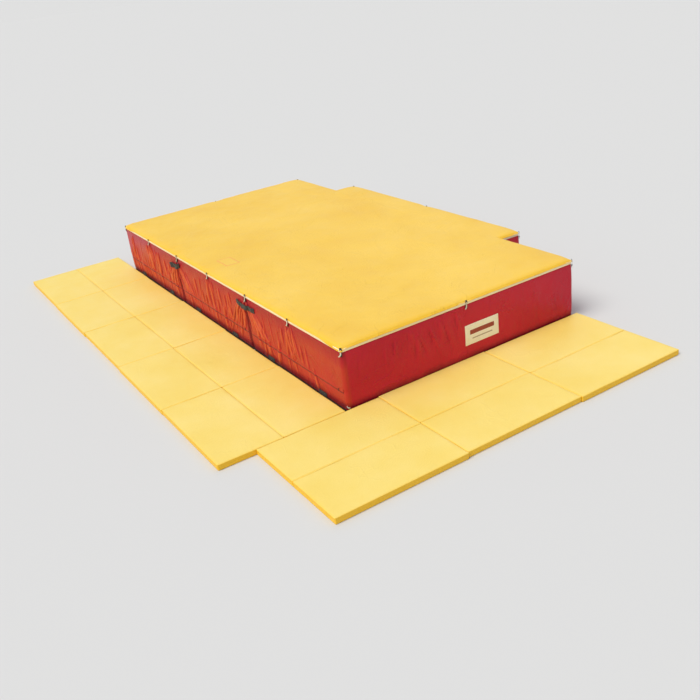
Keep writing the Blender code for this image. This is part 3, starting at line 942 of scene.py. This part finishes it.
def make_edge_band():
    """The cream side of the top pad: a welted strip with small puckers."""
    path = wall_path(PIT_OUTLINE, 0.012)
    x, y, nx, ny = path.T
    profile = [(-0.003, 0.0), (0.0005, 0.002), (0.0024, 0.006), (0.0036, 0.013), (0.0038, 0.024),
               (0.0020, 0.030), (-0.004, 0.032)]
    pucker = 0.0012 * ripple(x, y, 0.09, 51) + 0.0010 * ripple(x, y, 0.03, 52)
    sag = 0.0010 * ripple(x, y, 0.5, 53)
    # The band's top stays under the yellow vinyl, which the ties pull down.
    lid = pad_height(x - 0.002 * nx, y - 0.002 * ny) - 0.003
    rows = [(out, up, min(1.0, up / 0.01)) for out, up in profile]
    rows += [(-0.006, profile[-1][1], 0.0), (-0.006, 0.0, 0.0)]
    points = [
        np.stack([x + nx * (out + share * pucker), y + ny * (out + share * pucker),
                  np.minimum(UNIT_TOP + 0.0012 + up + share * sag, lid)], axis=1)
        for out, up, share in rows
    ]
    count = len(path)
    faces = ring_faces([*range(0, len(rows) * count, count), 0], count)
    piece = add_piece("top_pad_cream_band", np.concatenate(points), faces, CREAM, "top_pad", "cream_vinyl",
                      smooth_angle=60)
    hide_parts("top_pad_edge_band")


# --- Webbing, ties and small parts ---
class Wall:
    """A place on the pit's side: it turns (along, out, up) into the row frame."""

    def __init__(self, x, y, turn):
        self.x, self.y = x, y
        self.along = Vector((math.cos(turn), math.sin(turn)))
        self.out = Vector((math.sin(turn), -math.cos(turn)))

    def at(self, along, out, up):
        return Vector((
            self.x + self.along.x * along + self.out.x * out,
            self.y + self.along.y * along + self.out.y * out,
            up,
        ))

    def line(self, stops, count):
        """A smooth line through stops given as (along, out, up)."""
        return smooth_line([self.at(*stop) for stop in stops], count)

    def depth(self, along, up):
        spot = self.at(along, 0, up)
        values = (np.array([value]) for value in (spot.x, spot.y, self.out.x, self.out.y, up))
        return float(wall_depth(*values)[0])


def ring(wall, out, up, half_width, half_height, radius, steps=20):
    """Points and faces of an upright oval ring of round bar, parallel to the wall."""
    angles = [2 * math.pi * step / steps for step in range(steps)]
    path = [wall.at(half_width * math.cos(a), out, up + half_height * math.sin(a)) for a in angles]
    points = []
    sides = 8
    for index, spot in enumerate(path):
        ahead = (path[(index + 1) % steps] - path[index - 1]).normalized()
        side = ahead.cross(Vector((0.31, 0.17, 0.93))).normalized()
        above = side.cross(ahead)
        for step in range(sides):
            angle = 2 * math.pi * step / sides
            points.append(spot + (side * math.cos(angle) + above * math.sin(angle)) * radius)
    return points, [face[::-1] for face in ring_faces([*range(0, len(points), sides), 0], sides)]


def capped_rings(rings, sides):
    """Faces of a closed bar: rings of points, and a cap at each end."""
    starts = range(0, rings * sides, sides)
    return [*ring_faces(starts, sides), range(sides)[::-1], range(starts[-1], starts[-1] + sides)]


def ribbon(path, wide, width, thickness):
    """Points and faces of a flat strap along a path. wide is its width's direction, or one per point."""
    count = len(path)
    half, thin = width / 2, thickness / 2
    section = [(-half, 0), (-half * 0.92, thin), (0, thin * 1.15), (half * 0.92, thin), (half, 0),
               (half * 0.92, -thin), (0, -thin * 1.15), (-half * 0.92, -thin)]
    sides = len(section)
    points = []
    for index, spot in enumerate(path):
        ahead = (path[min(index + 1, count - 1)] - path[max(index - 1, 0)]).normalized()
        across = Vector(wide[index] if isinstance(wide, list) else wide)
        across = (across - ahead * across.dot(ahead)).normalized()
        face = across.cross(ahead)
        points += [spot + across * a + face * b for a, b in section]
    return points, capped_rings(count, sides)


def joined(*shapes):
    points, faces = [], []
    for some_points, some_faces in shapes:
        faces += [[len(points) + spot for spot in face] for face in some_faces]
        points += list(some_points)
    return points, faces


def smooth_line(stops, count):
    """A curve through the stops, evenly sampled (Catmull-Rom)."""
    stops = [stops[0] * 2 - stops[1], *stops, stops[-1] * 2 - stops[-2]]
    line = []
    spans = len(stops) - 3
    for index in range(count):
        place = index / (count - 1) * spans
        span = min(int(place), spans - 1)
        t = place - span
        a, b, c, d = stops[span:span + 4]
        line.append(0.5 * (2 * b + (c - a) * t + (2 * a - 5 * b + 4 * c - d) * t**2
                           + (3 * b - a - 3 * c + d) * t**3))
    return line


def rounded_block(wall, centre, size, rounding):
    """A soft-cornered block on the wall, by superellipse rings. centre and size are (along, out, up)."""
    def squared(value):
        return math.copysign(abs(value) ** rounding, value)

    points = []
    rings, sides = 7, 20
    for number in range(rings):
        polar = math.pi * (number + 0.5) / rings
        reach = squared(math.sin(polar))
        for step in range(sides):
            angle = 2 * math.pi * step / sides
            spot = (squared(math.cos(angle)) * reach, squared(math.cos(polar)),
                    squared(math.sin(angle)) * reach)
            points.append(wall.at(*(c + s * half / 2 for c, s, half in zip(centre, spot, size))))
    return points, capped_rings(rings, sides)


CORNER = CORNER_RADIUS * (1 - math.sqrt(0.5))   # how far a rounded corner draws in from a sharp one


def tie_walls():
    """Where each tie hangs, in the order of the record's straps."""
    left, right = -math.pi / 2, math.pi / 2
    # Those over the joints between units stand a little aside.
    sixths = [
        (LEFT, FRONT + PIT_LENGTH * sixth / 6 - 0.03 * (sixth % 2 == 0), left) for sixth in range(1, 6)
    ]
    places = [
        (LEFT + CORNER, FRONT + CORNER, left / 2), *sixths, (LEFT + CORNER, BACK - CORNER, left * 1.5),
        (0.0, BACK, math.pi), (RIGHT - CORNER, BACK - CORNER, right * 1.5),
        (OUTER_RIGHT - CORNER, FAR_STEP - CORNER, right * 1.5),
        (OUTER_RIGHT, (NEAR_STEP + FAR_STEP) / 2, right),
        (OUTER_RIGHT - CORNER, NEAR_STEP + CORNER, right / 2), (RIGHT - CORNER, FRONT + CORNER, right / 2),
        (0.0, FRONT, 0.0),
    ]
    return [Wall(*place) for place in places]


def make_tie(number, wall):
    """A black loop under the pad's edge, a white strap over the band, and a buckle with a short tail."""
    name = f"tie_{number:02d}"
    wide = (*wall.along, 0)
    sway = 0.25 * math.sin(2.4 * number)
    tab = ribbon(wall.line([
        (0, 0.004, PAD_TOP - 0.010), (0, 0.0090, PAD_TOP - 0.013), (0, 0.0095, BAND_TOP + 0.001),
        (0, 0.0100, BAND_TOP - 0.008),
    ], 10), wide, 0.020, 0.0024)
    loop = joined(tab, ring(wall, 0.0105, BAND_TOP - 0.011, 0.011, 0.006, 0.0019))
    add_piece(f"{name}_pad_loop", *loop, BLACK_WEB, "top_pad", "black_webbing")

    knot = UNIT_TOP - 0.012
    lie = max(wall.depth(step, knot - 0.006) for step in (-0.02, -0.01, 0.0, 0.01))
    path = wall.line([
        (0, 0.0115, BAND_TOP - 0.013), (-0.001, 0.0115, UNIT_TOP + 0.012),
        (-0.002, 0.0115 + lie, UNIT_TOP - 0.002), (-0.003, 0.0120 + lie, knot),
        (-0.008, 0.0140 + lie, knot - 0.008), (-0.016, 0.0150 + lie, knot - 0.016 + 0.010 * sway),
        (-0.022, 0.0145 + lie, knot - 0.020 + 0.018 * sway),
    ], 26)
    shape = ribbon(path, wide, 0.012, 0.0017)
    strap = add_piece(f"{name}_strap", *shape, WHITE_WEB, "top_pad", "white_webbing")
    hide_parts(f"tie_strap_{number:02d}")

    tail = wall.line([
        (-0.001, 0.003 + lie, knot - 0.005), (-0.001, 0.0055 + lie, knot - 0.013),
        (-0.001, 0.004 + lie, knot - 0.024),
    ], 8)
    block = rounded_block(wall, (-0.002, 0.0075 + lie, knot), (0.024, 0.009, 0.015), 0.45)
    buckle = joined(block, ribbon(tail, wide, 0.018, 0.0022))
    add_piece(f"{name}_buckle", *buckle, BUCKLE, ROOT, "zip_pull")


def make_handle(where):
    """A webbing loop lying on the wall across a joint between units, sewn down at both ends.

    The far left one is bunched up in two lobes.
    """
    node = f"handle_{where}"
    low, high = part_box(node)
    wall = Wall(LEFT, (low.y + high.y) / 2, -math.pi / 2)
    if where.startswith("right"):
        wall = Wall(OUTER_RIGHT, (low.y + high.y) / 2, math.pi / 2)
    half = (high.y - low.y) / 2
    bunched = where == "left_far"
    middle = (low.z + high.z) / 2 - (0.013 if bunched else 0.003)
    stops = []
    for share in np.linspace(-1, 1, 17):
        nearby = max(wall.depth(share * half + step, middle) for step in np.linspace(-0.02, 0.02, 5))
        lobe = 0.5 - 0.5 * math.cos((2 if bunched else 1) * math.pi * (share + 1))
        out = nearby + 0.0060 + (0.010 if bunched else 0.006) * lobe + 0.0015 * math.sin(9 * share + 1)
        sag = -0.032 * share + 0.012 * lobe * math.sin(3.4 * share) if bunched else 0.005 * (1 - share**2)
        stops.append((share * half, out, middle - sag + 0.002 * math.sin(5 * share)))
    path = wall.line(stops, 52)
    wides = []
    for index in range(len(path)):
        turned = 0.40 * math.sin(index * 0.30) if bunched else -0.22 * math.exp(-(((index - 22) / 9) ** 2))
        wides.append((wall.out.x * turned, wall.out.y * turned, 1.0))
    shape = ribbon(path, wides, 0.058 if bunched else 0.050, 0.003)
    loop = add_piece(f"{node}_webbing", *shape, BLACK_WEB, f"{node}_loop", "black_webbing")
    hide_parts(node)
    for end, side in (("a", -1), ("b", 1)):
        along = side * (half - 0.024)
        centre = (along, wall.depth(along, middle) + 0.0022, middle + (0.027 * side if bunched else 0.0))
        patch = rounded_block(wall, centre, (0.046, 0.004, 0.048), 0.25)
        add_piece(f"{node}_patch_{end}", *patch, BLACK_WEB, ROOT, "black_webbing")


def make_joint_strap():
    """A black strap that runs down the wall at the far joint, behind that joint's handle."""
    wall = Wall(LEFT, BACK - UNIT_LENGTH - 0.012, -math.pi / 2)
    stops = [
        (0.004 * math.sin(30 * up), wall.depth(0.03, up) + 0.0045, up)
        for up in np.linspace(UNIT_TOP - 0.006, UNIT_TOP - 0.105, 8)
    ]
    strap = ribbon(wall.line(stops, 24), (*wall.along, 0), 0.030, 0.0026)
    add_piece("far_joint_strap", *strap, BLACK_WEB, ROOT, "black_webbing")


def make_zip(unit):
    """A flap over the unit's long zip in the same vinyl, the zip's coil below it darkened as painted shade, and
    the zip's pull.
    """
    low, high = COVER[unit]
    stations = np.linspace(low.y + 0.032, high.y - 0.032, 260)
    lift = 0.0008 * np.sin(21 * stations) + 0.0006 * np.sin(57 * stations + 1)
    # Each profile runs from its top down, as (above the zip, out from the wall).
    flap = [(0.0260, 0.0004), (0.0200, 0.0022), (0.0080, 0.0036), (-0.0010, 0.0052), (-0.0060, 0.0058),
            (-0.0075, 0.0044)]
    # The coil strip below the flap's edge is the zip's own coil, made dark to paint the shade under the flap.
    coil = [(-0.0070, 0.0002), (-0.0095, 0.0022), (-0.0140, 0.0030), (-0.0190, 0.0024), (-0.0230, 0.0002)]
    for name, profile, material in (("flap", flap, RED), ("coil", coil, ZIP_COIL_SHADE)):
        up, out = np.array(profile).T
        share = (up[0] - up) / (up[0] - up[-1])
        y, heights = np.meshgrid(stations, ZIP_HEIGHT + up, indexing="ij")
        flat = np.zeros_like(y)
        x = LEFT - wall_depth(flat + LEFT, y, flat - 1.0, flat, heights) - out - lift[:, None] * share
        shape = sheet(np.dstack([x, y, heights]), np.dstack([x + 0.0014, y, heights]), flip=True)
        add_piece(f"{unit}_zip_{name}", *shape, material, ROOT, "red_vinyl", smooth_angle=60)

    low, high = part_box(f"{unit}_zip_pull")
    wall = Wall(LEFT, (low.y + high.y) / 2, -math.pi / 2)
    slider = rounded_block(wall, (0, 0.0135, high.z - 0.006), (0.013, 0.004, 0.010), 0.5)
    shape = joined(slider, ring(wall, 0.0145, high.z - 0.019, 0.0035, 0.008, 0.0012, steps=16))
    pull = add_piece(f"{unit}_zip_slider", *shape, PULL, f"{unit}_zip", "zip_pull")
    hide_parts(f"{unit}_zip_pull")


TAB_FROM_END = 0.41        # from a unit's end to the middle of its tray's webbing tab
TAB_HALF = 0.065
TAB_WIDTH = 0.046
TAB_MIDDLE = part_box("near_unit_base")[1].z - TAB_WIDTH / 2


def make_base(unit):
    """The black tray under a unit: its sides are turned up round the foot, and carry two webbing tabs."""
    outline, hidden = unit_outline(unit)
    path = wall_path(outline, 0.02, hidden)
    rim = UNIT_FOOT - 0.002
    rows = [
        (-0.012, 0.0003), (-0.002, 0.0003), (0.0006, 0.0012), (0.0010, 0.004), (0.0006, 0.018),
        (0.0010, 0.034), (0.0004, rim - 0.010), (-0.0006, rim), (-0.0028, rim + 0.0003),
        (-0.0030, rim - 0.010), (-0.0024, 0.024), (-0.0022, 0.0036), (-0.012, 0.0034),
    ]
    points = [(x + nx * out, y + ny * out, z) for out, z in rows for x, y, nx, ny in path]
    faces = capped_rings(len(rows), len(path))
    piece = add_piece(f"{unit}_base_sheet", points, faces, BASE, ROOT, "black_base_sheet")
    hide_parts(f"{unit}_unit_base")
    low, high = COVER[unit]
    for number, place in enumerate((low.y + TAB_FROM_END, high.y - TAB_FROM_END)):
        wall = Wall(LEFT, place, -math.pi / 2)
        stops = [
            (share * TAB_HALF, 0.0052 + 0.0012 * math.sin(4 * share + number),
             TAB_MIDDLE + 0.0015 * math.sin(3 * share)) for share in np.linspace(-1, 1, 9)
        ]
        tab = ribbon(wall.line(stops, 20), (0, 0, 1), TAB_WIDTH, 0.0028)
        add_piece(f"{unit}_base_tab_{number + 1}", *tab, BLACK_WEB, ROOT, "black_webbing")


def make_corner_tag():
    """The end of a white tape caught in the seam at the foot of the pit's near left corner."""
    wall = Wall(LEFT + CORNER, FRONT + CORNER, -math.pi / 4)
    path = wall.line([
        (-0.012, 0.002, 0.074), (-0.008, 0.007, 0.070), (0.0, 0.010, 0.064), (0.010, 0.008, 0.060),
        (0.016, 0.004, 0.062),
    ], 20)
    tape = ribbon(path, (0, 0, 1), 0.012, 0.0014)
    add_piece("corner_tape_end", *tape, WHITE_WEB, ROOT, "white_webbing")


def make_label():
    low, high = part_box("front_label")
    x, z = np.meshgrid(np.linspace(low.x, high.x, 34), np.linspace(low.z, high.z, 17))
    row, column = np.indices(x.shape)
    edge = np.minimum.reduce([column, 33 - column, row, 16 - row])
    flat = np.zeros_like(x)
    out = wall_depth(x, flat + FRONT, flat, flat - 1.0, z) + 0.0022
    out += 0.0004 * (edge > 1) - 0.0010 * (edge == 0)
    shape = sheet(*(np.dstack([x, FRONT - out - layer, z]) for layer in (0.0014, 0.0)), flip=True)
    piece = add_piece("front_patch", *shape, LABEL, ROOT, "label", smooth_angle=60)
    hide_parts("front_label")


def paint_foam():
    for name, node in frame["nodes"].items():
        if name.endswith("_foam"):
            node.data.materials.clear()
            node.data.materials.append(FOAM)


# --- Stage ---
LENS = 830.5 / 700 * 36    # the focal length, in widths of the frame, on a 36 mm sensor
CAMERA_PLACE = (-4.3366, -8.1390, 3.5401)
CAMERA_HEADING = math.radians(29.66)
CAMERA_DOWN = math.radians(25.35)
CAMERA_ROLL = math.radians(-7.51)


def make_camera():
    data = bpy.data.cameras.new("camera")
    data.lens = LENS
    data.sensor_width = 36
    data.clip_end = 3000
    camera = bpy.data.objects.new("camera", data)
    heading, down, roll = CAMERA_HEADING, CAMERA_DOWN, CAMERA_ROLL
    forward = Vector((math.sin(heading) * math.cos(down), math.cos(heading) * math.cos(down),
                      -math.sin(down)))
    right = Vector((math.cos(heading), -math.sin(heading), 0))
    below = forward.cross(right)
    level_right = math.cos(roll) * right - math.sin(roll) * below
    level_up = -(math.sin(roll) * right + math.cos(roll) * below)
    turn = Matrix((level_right, level_up, -forward)).transposed()
    camera.matrix_world = Matrix.Translation(CAMERA_PLACE) @ turn.to_4x4()
    bpy.context.scene.collection.objects.link(camera)
    bpy.context.scene.camera = camera


def make_floor():
    mesh = bpy.data.meshes.new("floor")
    # Far from the object the floor rises a little, which keeps its horizon out of the picture.
    corners = [(x * reach, y * reach, rise) for reach, rise in ((150, 0), (900, 140))
               for x, y in ((-1, -1), (1, -1), (1, 1), (-1, 1))]
    sides = [(k, k + 4, (k + 1) % 4 + 4, (k + 1) % 4) for k in range(4)]
    mesh.from_pydata(corners, [], [(0, 1, 2, 3), *sides])
    floor = bpy.data.objects.new("floor", mesh)
    bpy.context.scene.collection.objects.link(floor)
    n = Nodes("studio_floor")
    n.finish((0.675, 0.69, 0.72, 1.0), 1.0, Specular_IOR_Level=0.0)
    mesh.materials.append(n.material)


def sun(name, toward, strength, colour, spread):
    """A soft distant light. toward points from the object to the light."""
    data = bpy.data.lights.new(name, "SUN")
    data.energy = strength
    data.color = colour
    data.angle = math.radians(spread)
    light = bpy.data.objects.new(name, data)
    light.rotation_euler = Vector(toward).to_track_quat("Z", "Y").to_euler()
    bpy.context.scene.collection.objects.link(light)


def make_lights():
    sun("key", (-0.56, -0.08, 0.82), 2.35, (1.0, 0.95, 0.86), 35)
    sun("fill", (0.60, 0.50, 0.60), 0.30, (1.0, 0.97, 0.94), 60)
    world = bpy.data.worlds.new("studio")
    world.use_nodes = True
    world.node_tree.nodes["Background"].inputs["Color"].default_value = (0.96, 0.98, 1.0, 1.0)
    world.node_tree.nodes["Background"].inputs["Strength"].default_value = 0.45
    bpy.context.scene.world = world
    bpy.context.scene.view_settings.view_transform = "Standard"


def main():
    make_camera()
    make_floor()
    make_lights()
    make_mats()
    make_fold_strips()
    for unit in UNITS:
        make_unit_cover(unit)
        make_zip(unit)
        make_base(unit)
    make_top_pad()
    make_top_core()
    make_top_patch()
    make_edge_band()
    for number, wall in enumerate(tie_walls()):
        make_tie(number, wall)
    for where in ("left_near", "left_far", "right_near", "right_far"):
        make_handle(where)
    make_joint_strap()
    make_corner_tag()
    make_label()
    paint_foam()


main()
